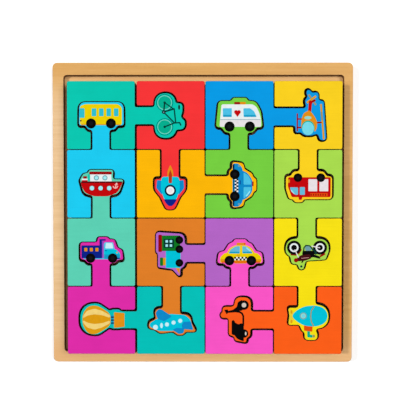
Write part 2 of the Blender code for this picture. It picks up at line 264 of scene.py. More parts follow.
class Shade:
    """A socket of a node tree. Arithmetic on it adds Math nodes, and node() adds any other node."""

    def __init__(self, tree, socket=None):
        self.tree = tree
        self.socket = socket

    def node(self, kind, settings, inputs, output=0):
        """Add a node of a type with its settings, then the values or links of its sockets."""
        made = self.tree.nodes.new("ShaderNode" + kind)
        for name, value in settings.items():
            setattr(made, name, value)
        for name, value in inputs.items():
            if isinstance(value, Shade):
                self.tree.links.new(value.socket, made.inputs[name])
            else:
                made.inputs[name].default_value = value
        return Shade(self.tree, made.outputs[output])

    def math(self, operation, first, second):
        """Result of a Math node on two values."""
        return self.node("Math", {"operation": operation}, {0: first, 1: second})

    def __add__(self, other):
        return self.math("ADD", self, other)

    def __radd__(self, other):
        return self.math("ADD", other, self)

    def __sub__(self, other):
        return self.math("SUBTRACT", self, other)

    def __rsub__(self, other):
        return self.math("SUBTRACT", other, self)

    def __mul__(self, other):
        return self.math("MULTIPLY", self, other)

    def __rmul__(self, other):
        return self.math("MULTIPLY", other, self)

    def stretched(self, scale):
        """This place with each axis scaled, to stretch a pattern along the grain."""
        return self.node("Mapping", {}, {"Vector": self, "Scale": scale})

    def noise(self, scale=1.0, detail=3.0, roughness=0.5):
        """Noise over this place, as a value round one half."""
        return self.node("TexNoise", {}, {"Vector": self, "Scale": scale, "Detail": detail,
                                          "Roughness": roughness}, "Fac")

    def between(self, low, high):
        """This value as a share of the way from low to high, eased at both ends."""
        return self.node("MapRange", {"interpolation_type": "SMOOTHSTEP"},
                         {"Value": self, "From Min": low, "From Max": high})

    def blend(self, first, second):
        """Colour that goes from the first to the second as this value goes from 0 to 1."""
        return self.node("Mix", {"data_type": "RGBA"}, {0: self, 6: first, 7: second}, 2)

    def into(self, shader, name):
        """Link this value to a socket of a shader."""
        self.tree.links.new(self.socket, shader.inputs[name])


def linear(shown, share=1.0):
    """Colour for a shader from a colour as it shows, made darker or lighter by a share."""
    straight = Color(shown).from_srgb_to_scene_linear()
    return (straight.r * share, straight.g * share, straight.b * share, 1.0)


def new_surface(name):
    """A material, its shader, and the place on the object that its patterns follow."""
    material = bpy.data.materials.new(name)
    material.use_nodes = True
    shader = material.node_tree.nodes["Principled BSDF"]
    place = Shade(material.node_tree).node("TexCoord", {}, {}, "Object")
    return material, shader, place


def add_bump(shader, height, strength, distance):
    """Let a height that varies over a surface tilt its normal."""
    inputs = {"Height": height, "Strength": strength, "Distance": distance}
    height.node("Bump", {}, inputs, "Normal").into(shader, "Normal")


def board_face(name, light, dark, gloss, strips=()):
    """Lacquered face veneer, its grain running along X.

    Each strip has its own light and dark wood, and takes over along an axis from a start to an end.
    """
    material, shader, place = new_surface(name)
    bands = place.stretched((5.0, 60.0, 60.0)).noise(detail=2.0)
    streaks = place.stretched((16.0, 420.0, 420.0)).noise(detail=4.0, roughness=0.6)
    fibres = place.stretched((70.0, 2200.0, 2200.0)).noise(detail=2.0)
    grain = (bands * 0.8 + streaks * 0.9 + fibres * 0.5).between(0.62, 1.5)
    tone = grain.blend(linear(light), linear(dark))
    for axis, start, end, strip_light, strip_dark in strips:
        share = place.node("SeparateXYZ", {}, {"Vector": place}, axis).between(start, end)
        tone = share.blend(tone, grain.blend(linear(strip_light), linear(strip_dark)))
    tone.into(shader, "Base Color")
    (gloss - 0.08 + fibres * 0.16).into(shader, "Roughness")
    shader.inputs["Specular IOR Level"].default_value = 0.3
    add_bump(shader, streaks + fibres, strength=0.25, distance=0.0001)
    return material


def ply_edge(name, light, dark, layers, bottom, top):
    """Cut edge of a board, with its layers of veneer and the fibres' ends."""
    material, shader, place = new_surface(name)
    height = place.node("SeparateXYZ", {}, {"Vector": place}, "Z")
    waver = place.noise(scale=300.0, detail=2.0)
    layer = (height - bottom) * (layers / (top - bottom)) + waver * 0.2 - 0.1
    odd = layer.math("PINGPONG", layer, 1.0).between(0.35, 0.65)
    ends = place.noise(scale=2600.0, detail=2.0)
    mix = odd * 0.55 + ends * 0.35 + place.noise(scale=120.0) * 0.3
    mix.between(0.1, 1.0).blend(linear(light), linear(dark)).into(shader, "Base Color")
    (0.62 + ends * 0.2).into(shader, "Roughness")
    shader.inputs["Specular IOR Level"].default_value = 0.2
    add_bump(shader, ends, strength=0.3, distance=0.0001)
    return material


def paint_coat(name, shown, gloss, shine):
    """Satin paint with the wood's fibres and a little cloudiness showing through."""
    material, shader, place = new_surface(name)
    clouds = place.noise(scale=70.0)
    fibres = place.stretched((40.0, 1100.0, 1100.0)).noise(roughness=0.6)
    depth = (clouds * 0.6 + fibres * 0.4).between(0.25, 0.75)
    depth.blend(linear(shown, 1.04), linear(shown, 0.95)).into(shader, "Base Color")
    (gloss - 0.06 + fibres * 0.12).into(shader, "Roughness")
    shader.inputs["Specular IOR Level"].default_value = shine
    add_bump(shader, fibres, strength=0.2, distance=0.00006)
    return material


def ink_coat(name, shown):
    """Printed ink, a little uneven in its cover."""
    material, shader, place = new_surface(name)
    cover = place.noise(scale=450.0, detail=4.0, roughness=0.6)
    cover.between(0.3, 0.7).blend(linear(shown, 0.95), linear(shown, 1.04)).into(shader, "Base Color")
    (0.42 + cover * 0.14).into(shader, "Roughness")
    shader.inputs["Specular IOR Level"].default_value = 0.02
    return material


def smooth_outlines(node):
    """Flat faces with the outlines of a CAD node at half its height, its facets made into smooth arcs."""
    low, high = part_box(node)
    form = bmesh.new()
    form.from_mesh(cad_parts[node].data)
    bmesh.ops.remove_doubles(form, verts=form.verts[:], dist=WELD_DISTANCE)
    bmesh.ops.dissolve_limit(form, angle_limit=FLAT_TURN, verts=form.verts[:], edges=form.edges[:])
    whole = form.verts[:] + form.edges[:] + form.faces[:]
    bmesh.ops.bisect_plane(form, geom=whole, dist=CUT_DISTANCE, plane_co=(low + high) / 2,
                           plane_no=(0, 0, 1), clear_inner=True, clear_outer=True)
    bmesh.ops.remove_doubles(form, verts=form.verts[:], dist=SHORT_EDGE)
    bmesh.ops.edgeloop_fill(form, edges=form.edges[:])
    corners = []
    for vert in form.verts:
        if vert.calc_edge_angle(0.0) > LEAST_TURN:
            shorter = min(edge.calc_length() for edge in vert.link_edges)
            corners.append((vert, ARC_SHARE * shorter))
    for vert, reach in corners:
        bmesh.ops.bevel(form, geom=[vert], offset=reach, offset_type="OFFSET", segments=ARC_STEPS,
                        profile=0.5, affect="VERTICES", clamp_overlap=False, material=-1)
    return form


def raise_board(form, bottom, top, rim):
    """Raise flat faces to a board between two heights, and round its upper and lower rims."""
    for vert in form.verts:
        vert.co.z = bottom
    raised = bmesh.ops.extrude_face_region(form, geom=form.faces[:])
    upper = [item for item in raised["geom"] if isinstance(item, bmesh.types.BMVert)]
    bmesh.ops.translate(form, verts=upper, vec=(0, 0, top - bottom))
    bmesh.ops.recalc_face_normals(form, faces=form.faces[:])
    rims = [edge for edge in form.edges if edge.calc_face_angle(0.0) > RIM_TURN]
    bmesh.ops.bevel(form, geom=rims, offset=rim, offset_type="OFFSET", segments=RIM_STEPS, profile=0.5,
                    affect="EDGES", clamp_overlap=False, material=-1)


def split_faces(form, within=None):
    """Give a board's upper face its first material and its cut sides and underside the second.

    Sides with their middle within a half width and a half depth, where these are given, get the third.
    """
    for face in form.faces:
        middle = face.calc_center_median()
        inside = within and abs(middle.x) < within[0] and abs(middle.y) < within[1]
        # Rim facets steeper than FACE_SLOPE go with the dark sides: painted shade that widens the dark
        # lines along the gaps
        if face.normal.z > FACE_SLOPE:
            face.material_index = 0
        elif inside and abs(face.normal.z) < FACE_SLOPE:
            face.material_index = 2
        else:
            face.material_index = 1


def settle_order(form):
    """Put the faces, which an extrusion makes in any order, in the same order on every run."""
    ordered = sorted(form.faces, key=lambda face: tuple(face.calc_center_median()))
    for index, face in enumerate(ordered):
        face.index = index
    form.faces.sort()


def add_piece(name, form, materials, body):
    """Make a bmesh a piece of the puzzle that moves with a body."""
    settle_order(form)
    mesh = bpy.data.meshes.new(name)
    form.to_mesh(mesh)
    form.free()
    for material in materials:
        mesh.materials.append(material)
    piece = bpy.data.objects.new(name, mesh)
    bpy.context.scene.collection.objects.link(piece)
    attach(piece, body)
    return piece


def smooth_sides(piece):
    """Shade a rounded board smoothly and keep its faces flat."""
    mesh = piece.data
    mesh.polygons.foreach_set("use_smooth", [True] * len(mesh.polygons))
    mesh.set_sharp_from_angle(angle=SHARP_TURN)
    weighted = piece.modifiers.new("flat_faces", "WEIGHTED_NORMAL")
    weighted.keep_sharp = True


def tab_axes(name):
    """Matrix to the tray from millimetres on a block's tab: u along the block's edge, v out from it."""
    low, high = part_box("block_" + name)
    turn = Matrix.Rotation(math.radians(TAB_TURNS[TAB_SIDES[name]]), 4, "Z")
    out = turn @ Vector((0.0, 1.0, 0.0))
    block_side = min(high.x - low.x, high.y - low.y)
    whole = abs((high - low).dot(out))
    edge = (low + high) / 2 + (block_side - whole / 2) * out
    edge.z = high.z
    return Matrix.Translation(edge) @ turn @ Matrix.Scale(MILLIMETRE, 4)


class Print:
    """Picture built up from thin solid patches of ink, in millimetres on a tab."""

    def __init__(self, film):
        self.form = bmesh.new()
        self.film = film
        self.inks = []
        self.patches = []

    def lay(self, ink, verts):
        """Raise one flat face to a patch that lies on all the patches under it."""
        low = (min(vert.co.x for vert in verts), min(vert.co.y for vert in verts))
        high = (max(vert.co.x for vert in verts), max(vert.co.y for vert in verts))
        level = 1
        for other_low, other_high, other_level in self.patches:
            apart = (other_high[0] < low[0] or high[0] < other_low[0]
                     or other_high[1] < low[1] or high[1] < other_low[1])
            if not apart:
                level = max(level, other_level + 1)
        self.patches.append((low, high, level))
        if ink not in self.inks:
            self.inks.append(ink)
        faces = verts[0].link_faces[:]
        raised = bmesh.ops.extrude_face_region(self.form, geom=faces)
        upper = [item for item in raised["geom"] if isinstance(item, bmesh.types.BMVert)]
        bmesh.ops.translate(self.form, verts=verts, vec=(0, 0, -self.film))
        bmesh.ops.translate(self.form, verts=upper, vec=(0, 0, level * self.film))
        for vert in upper:
            for face in vert.link_faces:
                face.material_index = self.inks.index(ink)
        for face in faces:
            face.material_index = self.inks.index(ink)

    def oval(self, ink, u, v, half_width, half_height):
        """Oval round a middle."""
        place = Matrix.LocRotScale((u, v, 0), None, (half_width, half_height, 1))
        made = bmesh.ops.create_circle(self.form, cap_ends=True, segments=OVAL_STEPS, radius=1.0,
                                       matrix=place)
        self.lay(ink, made["verts"])

    def disc(self, ink, u, v, radius):
        """Round spot."""
        self.oval(ink, u, v, radius, radius)

    def bar(self, ink, start, end, width):
        """Straight line between two points."""
        along = Vector((end[0] - start[0], end[1] - start[1]))
        turn = Matrix.Rotation(math.atan2(along.y, along.x), 3, "Z").to_quaternion()
        middle = ((start[0] + end[0]) / 2, (start[1] + end[1]) / 2, 0)
        place = Matrix.LocRotScale(middle, turn, (along.length, width, 1))
        made = bmesh.ops.create_grid(self.form, x_segments=1, y_segments=1, size=0.5, matrix=place)
        self.lay(ink, made["verts"])

    def lines(self, ink, points, width):
        """Bent line through points, with round joints."""
        for start, end in zip(points, points[1:]):
            self.bar(ink, start, end, width)
        for u, v in points[1:-1]:
            self.disc(ink, u, v, width / 2)

    def shape(self, ink, points, soft=0.3):
        """Area inside corners that are each softened over a length."""
        corners = [self.form.verts.new((u, v, 0)) for u, v in points]
        self.form.faces.new(corners)
        made = bmesh.ops.bevel(self.form, geom=corners, offset=soft, offset_type="OFFSET",
                               segments=SOFT_STEPS, profile=0.5, affect="VERTICES", clamp_overlap=True,
                               material=-1)
        face = made["verts"][0].link_faces[0]
        face.normal_update()
        if face.normal.z < 0:
            face.normal_flip()
        self.lay(ink, face.verts[:])

    def panel(self, ink, left, low, right, high, soft=0.3):
        """Upright rectangle with softened corners."""
        self.shape(ink, [(left, low), (right, low), (right, high), (left, high)], soft)

    def wheel(self, u, v, radius):
        """Black tyre with a dark grey hub."""
        self.disc("black", u, v, radius)
        self.disc("charcoal", u, v, HUB_SHARE * radius)

    def checks(self, left, low, right, high, columns):
        """Two rows of white checks on a black band."""
        self.panel("black", left, low, right, high, CHECK_SOFT)
        wide = (right - left) / columns
        tall = (high - low) / 2
        for column in range(columns):
            u = left + column * wide
            v = low + (column % 2) * tall
            self.panel("white", u + CHECK_EDGE, v + CHECK_EDGE, u + wide - CHECK_EDGE,
                       v + tall - CHECK_EDGE, CHECK_SOFT)


# The sixteen pictures, each in millimetres on its own tab: u along the block's edge, v out from it
def print_bus(art):
    art.shape("yellow", [(-15.7, 18.2), (15.2, 18.2), (15.2, 31.2), (12.4, 33.6), (-11.6, 33.6),
                         (-15.7, 32.2)], 1.6)
    art.bar("gold", (-14.6, 18.6), (14.2, 18.6), 0.8)
    art.panel("glass", -15.8, 23.5, -12.2, 30.6, 0.5)
    for left in (-7.0, -1.6, 3.8, 9.3):
        art.panel("glass", left, 24.7, left + 3.4, 30.5, 0.5)
    art.oval("amber", -14.2, 20.0, 1.1, 0.8)
    art.disc("maroon", -15.0, 21.4, 0.6)
    art.wheel(-7.5, 19.4, 3.7)
    art.wheel(7.1, 19.4, 3.7)


def print_bicycle(art):
    for u in (-9.0, 8.7):
        art.disc("pine", u, 21.9, 6.2)
        art.disc("teal", u, 21.9, 5.85)
        art.disc("mint", u, 21.9, 5.2)
        art.disc("jade", u, 21.9, 4.9)
        art.disc("pine", u, 21.9, 0.9)
    art.bar("pine", (-9.0, 21.9), (-2.2, 21.2), 1.0)
    art.bar("pine", (-9.0, 21.9), (-4.6, 28.1), 0.8)
    art.bar("pine", (-2.2, 21.2), (-4.6, 29.2), 1.1)
    art.bar("pine", (-4.4, 28.9), (5.7, 30.0), 0.9)
    art.bar("pine", (-2.0, 21.2), (5.9, 29.2), 0.9)
    art.bar("pine", (8.7, 21.9), (5.8, 29.1), 0.9)
    art.bar("pine", (5.9, 28.7), (5.6, 32.9), 0.9)
    art.bar("pine", (5.4, 32.8), (7.7, 33.8), 0.9)
    art.disc("charcoal", -2.1, 21.2, 1.3)
    art.disc("steel", -2.0, 21.2, 0.5)
    art.oval("charcoal", -5.7, 32.5, 1.9, 0.7)


def print_ambulance(art):
    art.shape("milk", [(-14.5, 17.0), (16.2, 17.0), (16.0, 22.5), (15.0, 26.5), (12.8, 31.4),
                       (10.0, 33.5), (-13.0, 33.5)], 1.2)
    art.panel("pearl", -14.2, 17.1, 15.9, 22.1, 0.8)
    art.bar("steel", (-13.9, 22.3), (15.6, 22.3), 0.4)
    art.panel("sky", -12.0, 24.2, -5.4, 30.6, 0.4)
    art.panel("lagoon", -11.8, 24.3, -5.6, 25.7, 0.2)
    art.shape("sky", [(3.2, 24.2), (12.9, 24.2), (10.8, 28.5), (8.0, 30.6), (3.0, 30.6)], 0.7)
    art.shape("lagoon", [(3.4, 24.3), (12.6, 24.3), (11.9, 25.7), (3.4, 25.7)], 0.2)
    art.panel("brick", -3.7, 33.4, 0.6, 35.2, 0.5)
    art.panel("orange", 0.6, 33.4, 4.8, 35.2, 0.5)
    for u in (-2.35, -0.25):
        art.disc("red", u, 27.9, 1.35)
    art.shape("red", [(-3.5, 27.2), (-1.3, 24.3), (0.9, 27.2), (-1.3, 28.8)], 0.3)
    art.wheel(-7.1, 17.2, 3.75)
    art.wheel(7.8, 17.2, 3.75)


def print_helicopter(art):
    art.bar("khaki", (-15.2, 25.8), (-7.6, 31.2), 1.3)
    art.bar("gold", (-14.0, 31.2), (-9.2, 24.6), 1.5)
    art.bar("brick", (-11.3, 30.9), (-9.5, 27.7), 1.5)
    art.bar("red", (-9.6, 27.2), (-2.8, 26.6), 2.4)
    art.disc("red", -9.5, 27.3, 1.4)
    art.bar("brick", (2.7, 17.8), (2.7, 21.4), 1.1)
    art.bar("brick", (8.9, 17.8), (8.9, 21.4), 1.2)
    art.bar("brick", (-1.4, 17.6), (11.7, 17.6), 1.0)
    art.bar("brick", (5.4, 31.4), (5.2, 35.4), 1.2)
    art.shape("orange", [(-3.8, 26.3), (-1.6, 22.3), (3.0, 20.6), (9.8, 20.4), (9.8, 29.8), (12.4, 30.5),
                         (9.0, 32.0), (4.8, 32.2), (1.2, 30.5), (-2.0, 28.2)], 1.0)
    art.oval("jade", 9.1, 25.5, 5.3, 4.8)
    art.oval("aqua", 9.55, 25.5, 4.9, 4.35)
    art.oval("gold", 1.8, 25.4, 1.7, 3.0)
    art.oval("mint", 1.8, 25.4, 1.2, 2.5)
    art.bar("gold", (-8.2, 34.9), (17.6, 37.1), 1.3)
    art.bar("khaki", (-2.6, 35.3), (3.6, 35.9), 1.3)


def print_ship(art):
    art.panel("milk", -14.2, 26.4, -9.9, 28.9, 0.4)
    art.panel("red", -14.2, 26.2, -9.9, 27.7, 0.2)
    art.panel("brick", -13.2, 28.8, -10.3, 30.6, 0.5)
    art.panel("teal", -9.6, 27.0, -8.0, 32.1, 0.4)
    art.shape("milk", [(-8.0, 26.4), (7.9, 26.4), (7.4, 32.6), (-8.0, 32.6)], 0.3)
    art.panel("brick", -8.7, 31.9, 8.0, 34.0, 0.7)
    art.shape("red", [(-15.1, 26.8), (16.2, 26.8), (14.5, 22.6), (11.8, 18.4), (7.5, 16.7), (5.0, 15.8),
                      (-5.0, 15.8), (-7.5, 16.7), (-11.7, 18.4), (-14.0, 22.4)], 1.5)
    art.shape("maroon", [(-14.8, 26.7), (15.8, 26.7), (15.3, 25.7), (-14.4, 25.7)], 0.2)
    for u in (-3.4, 2.9):
        art.disc("steel", u, 29.4, 1.9)
        art.disc("ice", u, 29.4, 1.25)
    for u in (-6.7, -0.3, 6.0):
        art.disc("brick", u, 21.8, 2.1)
        art.disc("ice", u, 21.8, 1.65)
    art.disc("coral", 11.4, 25.2, 0.6)
    art.bar("coral", (11.3, 25.2), (10.5, 21.8), 0.7)
    art.bar("coral", (10.0, 24.2), (12.3, 24.7), 0.5)
    art.lines("coral", [(8.8, 23.3), (9.5, 22.1), (10.5, 21.7), (11.7, 22.2), (12.4, 23.6)], 0.7)


def print_rocket(art):
    art.shape("orange", [(-2.3, 21.0), (2.3, 21.0), (2.0, 15.8), (0.0, 11.2), (-2.0, 15.8)], 1.0)
    for way in (-1, 1):
        fin = [(6.2, 23.0), (9.8, 22.4), (10.3, 28.4), (6.2, 33.6)]
        art.shape("blue", [(way * u, v) for u, v in fin], 0.8)
    art.shape("cyan", [(-6.2, 20.1), (6.2, 20.1), (7.0, 24.0), (6.9, 30.2), (4.5, 37.0), (-4.5, 37.0),
                       (-6.9, 30.2), (-7.0, 24.0)], 1.5)
    art.shape("navy", [(-4.9, 36.7), (4.9, 36.7), (3.1, 39.8), (1.2, 41.7), (-1.2, 41.7),
                       (-3.1, 39.8)], 0.8)
    art.disc("midnight", 0.0, 30.2, 4.2)
    art.disc("white", 0.0, 30.2, 2.9)
    art.disc("pearl", 0.0, 30.2, 1.7)
    art.shape("ember", [(-1.2, 24.8), (1.2, 24.8), (1.3, 18.6), (0.0, 14.8), (-1.3, 18.6)], 0.7)


def print_police_car(art):
    art.shape("blue", [(-10.4, 26.8), (12.3, 26.8), (10.0, 31.6), (5.6, 35.0), (-3.1, 35.0),
                       (-8.1, 31.6)], 1.8)
    art.shape("blue", [(-15.2, 20.5), (16.6, 20.5), (16.6, 25.0), (13.2, 27.9), (-11.4, 27.9),
                       (-15.0, 25.0)], 1.4)
    art.shape("sky", [(-8.6, 28.6), (0.4, 28.6), (0.4, 34.3), (-3.1, 33.9), (-6.6, 31.8)], 0.7)
    art.shape("sky", [(2.2, 28.6), (10.7, 28.6), (8.5, 32.0), (5.4, 34.0), (2.2, 34.3)], 0.7)
    art.shape("ice", [(4.8, 33.2), (5.8, 33.4), (9.1, 30.9), (8.7, 30.1)], 0.3)
    art.bar("navy", (-2.7, 26.1), (0.2, 26.1), 0.6)
    art.bar("midnight", (-14.5, 21.2), (-10.8, 21.2), 1.2)
    art.bar("midnight", (12.4, 21.2), (16.0, 21.2), 1.2)
    for u in (-13.4, 14.7):
        art.disc("steel", u, 25.2, 0.8)
    art.panel("brick", -1.9, 34.8, 1.5, 35.9, 0.3)
    art.bar("pine", (-3.9, 21.2), (5.6, 21.2), 0.5)
    art.checks(-4.0, 22.0, 5.9, 24.7, 8)
    art.wheel(-7.2, 22.1, 3.65)
    art.wheel(9.0, 22.1, 3.65)


def print_fire_engine(art):
    art.shape("red", [(4.1, 35.0), (7.1, 35.0), (6.7, 37.4), (4.7, 37.4)], 0.5)
    art.shape("red", [(-16.6, 20.8), (14.7, 20.8), (14.9, 27.4), (12.0, 35.4), (-16.5, 35.4)], 1.0)
    art.panel("flame", -14.3, 32.5, -1.5, 34.9, 0.3)
    for step in range(7):
        u = -13.2 + 1.75 * step
        art.panel("brick", u, 33.0, u + 0.9, 34.4, 0.2)
    for left in (-14.8, -6.7):
        art.panel("pearl", left, 22.2, left + 6.5, 31.1, 0.4)
    art.panel("haze", 2.4, 28.0, 6.1, 33.7, 0.5)
    art.shape("haze", [(7.4, 28.2), (13.5, 28.2), (12.3, 31.4), (9.4, 33.7), (7.4, 33.7)], 0.7)
    art.shape("ice", [(9.6, 33.2), (10.4, 33.1), (12.7, 30.6), (12.4, 29.8)], 0.3)
    art.bar("brick", (7.7, 26.6), (9.5, 26.6), 0.7)
    art.panel("gold", 13.5, 22.4, 14.9, 24.8, 0.4)
    art.wheel(-9.3, 21.1, 3.2)
    art.wheel(7.5, 21.1, 3.2)


def print_lorry(art):
    art.bar("sky", (-13.0, 20.4), (13.4, 20.3), 0.9)
    art.panel("navy", -14.6, 20.7, 0.6, 30.2, 0.4)
    art.panel("navy", -1.3, 30.0, 0.6, 34.9, 0.3)
    art.panel("navy", 0.4, 33.7, 3.3, 34.9, 0.3)
    art.bar("orchid", (1.2, 20.8), (1.2, 33.6), 1.1)
    for u in (-11.4, -7.3, -3.2):
        art.panel("orange", u - 1.1, 25.8, u + 1.1, 28.4, 0.3)
    art.shape("sky", [(1.9, 26.8), (10.1, 26.8), (8.7, 32.5), (2.8, 32.6), (1.9, 31.4)], 0.5)
    art.shape("frost", [(3.0, 28.0), (9.0, 28.0), (8.1, 31.9), (3.4, 32.0)], 0.4)
    art.shape("cyan", [(1.9, 20.2), (14.0, 20.2), (14.0, 24.2), (11.0, 27.3), (1.9, 27.3)], 0.9)
    art.panel("lagoon", 2.0, 20.3, 13.9, 23.6, 0.7)
    art.bar("navy", (2.6, 26.3), (4.3, 26.3), 0.5)
    art.bar("navy", (11.6, 20.6), (13.8, 20.6), 1.0)
    art.disc("gold", 11.6, 24.9, 0.55)
    art.wheel(-7.9, 20.8, 3.5)
    art.wheel(8.4, 20.8, 3.5)


def print_train(art):
    art.shape("orange", [(-16.6, 18.9), (-11.6, 18.9), (-11.6, 21.9)], 0.4)
    art.panel("gold", -9.6, 28.6, -4.0, 31.4, 0.3)
    art.panel("green", -10.0, 31.2, -3.8, 33.5, 0.6)
    art.panel("cyan", -11.6, 18.3, 1.2, 29.2, 0.7)
    art.panel("green", 1.0, 18.6, 12.4, 32.6, 0.4)
    art.panel("brick", 0.3, 32.0, 13.0, 34.7, 0.8)
    art.panel("pine", 3.2, 23.1, 9.9, 30.7, 0.6)
    for u in (5.0, 8.1):
        for v in (25.4, 28.5):
            art.panel("ice", u - 0.9, v - 0.9, u + 0.9, v + 0.9, 0.3)
    for u in (-7.8, 2.3, 9.1):
        art.wheel(u, 19.2, 2.9)


def print_taxi(art):
    art.shape("yellow", [(-9.9, 24.0), (11.4, 24.0), (8.8, 28.2), (5.2, 30.3), (-3.4, 30.3),
                         (-7.4, 28.2)], 1.3)
    art.shape("yellow", [(-14.5, 17.3), (16.0, 17.3), (16.0, 21.6), (12.8, 24.7), (-11.0, 24.7),
                         (-14.4, 21.6)], 1.3)
    art.bar("flame", (-13.4, 17.9), (15.0, 17.9), 1.1)
    art.bar("gold", (-14.2, 19.2), (15.7, 19.2), 1.6)
    art.shape("haze", [(-8.4, 24.2), (0.1, 24.2), (0.1, 29.8), (-3.4, 29.4), (-6.6, 27.3)], 0.6)
    art.shape("lagoon", [(-7.8, 24.4), (-0.2, 24.4), (-0.2, 25.6), (-7.2, 25.6)], 0.2)
    art.shape("haze", [(1.9, 24.3), (9.6, 24.3), (7.7, 27.3), (4.9, 29.4), (1.9, 29.8)], 0.6)
    art.shape("lagoon", [(2.1, 24.4), (9.2, 24.4), (8.7, 25.6), (2.1, 25.6)], 0.2)
    art.shape("ice", [(4.2, 28.6), (5.2, 28.8), (8.2, 26.4), (7.7, 25.6)], 0.3)
    art.panel("orange", -2.3, 30.4, 4.4, 32.2, 0.4)
    art.disc("flame", 3.7, 31.4, 0.7)
    art.bar("orange", (-2.3, 22.8), (0.1, 22.8), 0.7)
    art.bar("orange", (-3.6, 17.2), (4.8, 17.2), 0.8)
    art.checks(-4.1, 19.2, 5.4, 21.8, 7)
    art.wheel(-7.6, 19.0, 3.6)
    art.wheel(8.6, 19.0, 3.6)


def print_motorcycle(art):
    art.bar("brick", (-12.7, 25.9), (-8.8, 28.1), 1.3)
    art.bar("brick", (8.4, 26.8), (12.6, 26.5), 1.3)
    art.bar("brick", (4.9, 22.6), (7.2, 26.2), 1.3)
    for u in (-8.9, 10.2):
        art.disc("black", u, 21.5, 5.2)
        art.disc("milk", u, 21.5, 3.3)
        art.disc("black", u, 21.5, 2.1)
    art.bar("pine", (-6.4, 26.4), (-3.4, 22.4), 1.6)
    art.disc("steel", -0.3, 22.1, 2.4)
    art.lines("pine", [(-4.3, 24.2), (-2.6, 21.5), (-1.2, 20.1), (1.5, 19.9), (2.9, 21.6),
                       (3.2, 24.2)], 0.9)
    art.shape("black", [(-5.4, 26.4), (4.2, 26.8), (3.8, 23.8), (-4.4, 23.8)], 0.5)
    art.shape("black", [(-9.4, 29.5), (-8.4, 29.6), (-4.0, 28.5), (0.6, 29.4), (4.4, 27.6), (2.2, 24.6),
                        (-2.6, 24.8), (-4.6, 26.6), (-8.4, 27.8)], 0.5)
    art.shape("maroon", [(-2.6, 29.4), (2.0, 31.1), (7.6, 31.6), (8.2, 29.4), (5.0, 27.0),
                         (-1.6, 26.4)], 0.8)
    art.bar("black", (3.4, 31.0), (4.5, 32.6), 0.9)
    art.bar("coral", (-0.6, 28.8), (4.8, 29.4), 0.25)
    art.bar("pearl", (-8.9, 21.6), (-2.6, 20.3), 0.7)
    art.bar("pearl", (6.9, 28.8), (9.7, 22.9), 0.7)
    art.disc("brick", 8.7, 30.8, 1.5)
    art.disc("pine", 4.8, 35.4, 0.85)


def print_balloon(art):
    art.shape("gold", [(-4.0, 19.1), (4.3, 19.1), (8.2, 24.4), (11.0, 30.2), (9.8, 36.2), (4.1, 39.8),
                       (-3.4, 39.8), (-10.0, 36.2), (-11.0, 30.2), (-7.7, 24.4)], 2.6)
    for way in (-1, 1):
        stripe = [(3.0, 19.5), (1.0, 19.5), (2.9, 25.0), (3.6, 31.0), (2.7, 36.0), (0.7, 39.5),
                  (2.7, 39.4), (6.2, 36.4), (7.8, 31.0), (6.2, 25.4)]
        art.shape("straw", [(way * u + 0.5, v) for u, v in stripe], 1.0)
    art.panel("lagoon", -3.5, 16.2, 3.5, 18.9, 0.3)
    for u in (-2.4, -0.2, 2.0):
        art.bar("midnight", (u, 16.2), (u, 18.8), 0.9)
    art.shape("orange", [(-6.0, 16.5), (5.7, 16.5), (5.0, 8.8), (-5.1, 8.8)], 0.5)
    art.bar("gold", (-5.8, 15.9), (5.5, 15.9), 0.8)
    for v in (11.0, 13.4):
        art.bar("gold", (-4.8, v), (4.8, v), 0.35)


def print_aeroplane(art):
    art.shape("cyan", [(-17.0, 32.6), (-14.6, 24.6), (-10.7, 21.2), (0.6, 20.4), (10.3, 24.3),
                       (15.3, 27.2), (15.7, 29.9), (8.6, 33.2), (-2.0, 33.2), (-9.2, 31.2)], 1.4)
    art.shape("blue", [(-16.7, 32.3), (-8.8, 31.7), (-8.3, 28.7), (-9.6, 26.3), (-14.8, 26.1),
                       (-15.8, 28.7)], 0.7)
    art.shape("blue", [(-10.3, 31.2), (-9.6, 34.6), (-6.2, 35.5), (-1.4, 32.4), (-4.3, 30.8)], 0.8)
    art.shape("blue", [(-1.1, 22.4), (4.7, 25.9), (9.7, 24.1), (11.2, 19.8), (9.1, 16.9),
                       (6.6, 17.1)], 1.2)
    for u, v in ((-7.1, 25.6), (-2.2, 26.9), (2.7, 28.3)):
        art.disc("frost", u, v, 1.5)
    art.oval("frost", 6.7, 29.1, 1.0, 1.9)
    art.disc("frost", 11.2, 30.4, 1.8)


def print_scooter(art):
    art.shape("black", [(-11.7, 29.0), (-11.0, 31.0), (-1.2, 31.0), (-0.2, 29.8), (-1.6, 28.5),
                        (-11.0, 28.4)], 0.6)
    art.shape("black", [(-16.4, 22.0), (-4.6, 22.0), (-2.5, 23.4), (-3.7, 26.0), (-1.9, 28.9),
                        (-11.4, 29.2), (-14.4, 26.8)], 1.0)
    art.lines("black", [(-4.8, 22.4), (2.6, 22.4), (4.6, 23.4), (5.7, 25.4), (6.0, 28.4),
                        (5.6, 33.8)], 1.3)
    art.shape("black", [(5.4, 33.6), (6.3, 33.6), (7.2, 30.0), (9.4, 27.2), (12.8, 26.4), (14.6, 23.4),
                        (8.4, 21.4), (6.6, 23.6), (6.0, 27.6)], 0.6)
    art.shape("black", [(3.8, 34.6), (7.2, 36.5), (7.4, 33.7), (5.4, 33.5)], 0.4)
    art.disc("black", 10.7, 21.9, 3.5)
    art.disc("stone", 10.7, 21.9, 1.7)
    art.disc("black", -10.4, 21.8, 3.1)
    art.oval("stone", -10.4, 20.6, 1.4, 0.6)


